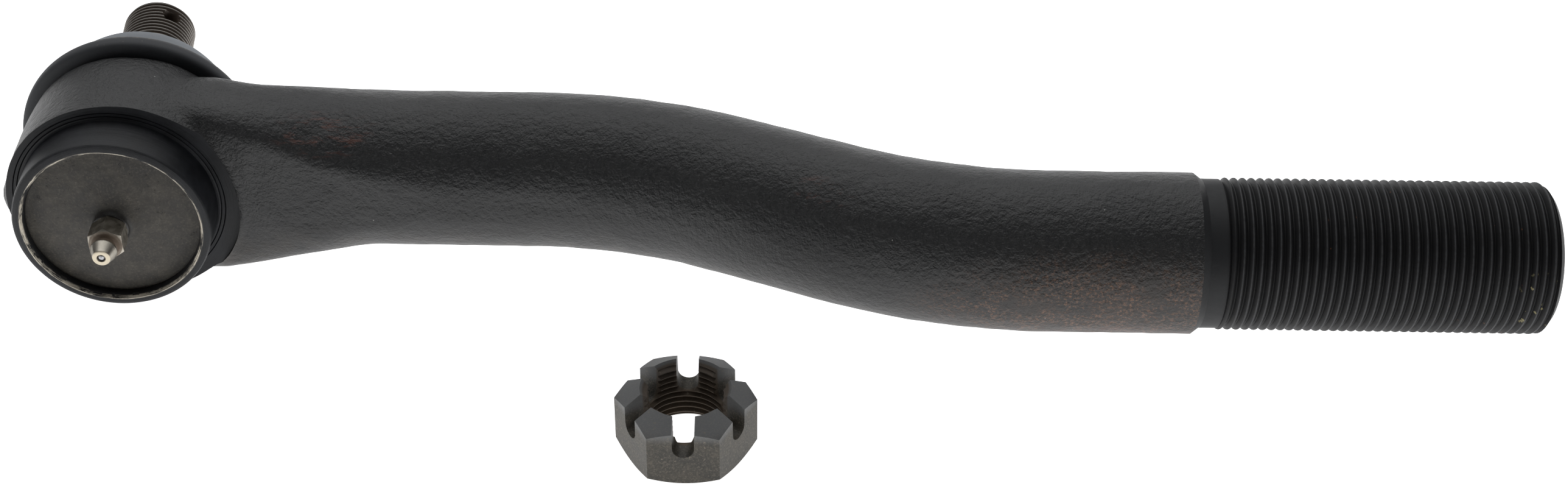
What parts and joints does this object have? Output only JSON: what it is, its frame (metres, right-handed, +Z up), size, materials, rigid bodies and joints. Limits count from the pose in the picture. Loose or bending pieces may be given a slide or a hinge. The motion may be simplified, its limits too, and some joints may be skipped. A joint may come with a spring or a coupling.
{
  "type": "tie rod end",
  "caption": "Greasable ball joint end for a steering tie rod: forged socket on a double-bent shank with a left-hand thread, tapered ball stud, dust boot and a loose castle nut.",
  "frame": {"origin": "centre of the threaded shank's end face", "axes": "+X out of the shank's end along its thread, +Z up from the table that the part lies on; the ball stud points close to +Y and the grease fitting close to -Y"},
  "size_m": [0.375, 0.1508, 0.0572],
  "materials": {
    "forged_housing": "thin black paint over rough forged steel, with light rust speckle beside the thread",
    "cover_plate": "dark brown-grey phosphate on pressed steel, mottled",
    "plated_fitting": "yellowish zinc plating, turned",
    "bright_ball": "polished",
    "spring_steel": "oiled spring wire",
    "stud_steel": "brown-grey phosphate, lighter on the thread's crests",
    "bearing_steel": "greased hardened steel",
    "boot_rubber": "satin moulded rubber with dust specks",
    "ring_steel": "dull plated steel",
    "nut_phosphate": "dark grey-olive phosphate, finely speckled"
  },
  "bodies": {
    "socket_body": {"housing": "forged_housing", "cover_plate": "cover_plate", "grease_fitting_body": "plated_fitting", "grease_check_spring": "spring_steel", "boot_base_ring": "ring_steel", "preload_spring": "spring_steel"},
    "bearing_ring": {"upper_bearing": "bearing_steel", "dust_boot": "boot_rubber"},
    "stud_carrier": {"boot_clip_ring": "ring_steel"},
    "stud_body": {"ball_stud": "stud_steel"},
    "lower_seat": {"lower_bearing": "bearing_steel"},
    "check_ball_body": {"grease_check_ball": "bright_ball"},
    "nut_body": {"castle_nut": "nut_phosphate"}
  },
  "joints": [
    {"name": "stud_swing_direction", "type": "hinge", "parent": "socket_body", "child": "bearing_ring", "pos_m": [-0.3457, 0.0315, 0], "axis": [-0.0628, 0.998, 0], "continuous": true},
    {"name": "stud_tilt", "type": "hinge", "parent": "bearing_ring", "child": "stud_carrier", "pos_m": [-0.3457, 0.0315, 0], "axis": [0, 0, 1], "range_deg": [-25.6, 18.4], "deforming": ["dust_boot"]},
    {"name": "stud_spin", "type": "hinge", "parent": "stud_carrier", "child": "stud_body", "pos_m": [-0.3457, 0.0315, 0], "axis": [-0.1253, 0.9921, 0], "continuous": true},
    {"name": "lower_bearing_lift", "type": "slide", "parent": "socket_body", "child": "lower_seat", "axis": [0.0628, -0.998, 0], "range_m": [0, 0.0006], "stiffness_N_per_m": 40000, "springref_m": -0.002, "deforming": ["preload_spring"]},
    {"name": "check_ball_travel", "type": "slide", "parent": "socket_body", "child": "check_ball_body", "axis": [-0.0628, 0.998, 0], "range_m": [0, 0.0006], "stiffness_N_per_m": 400, "springref_m": -0.0005, "deforming": ["grease_check_spring"]},
    {"name": "nut_lift", "type": "slide", "parent": "socket_body", "child": "nut_body", "axis": [0, 0, 1], "range_m": [0, 0.05]}
  ]
}
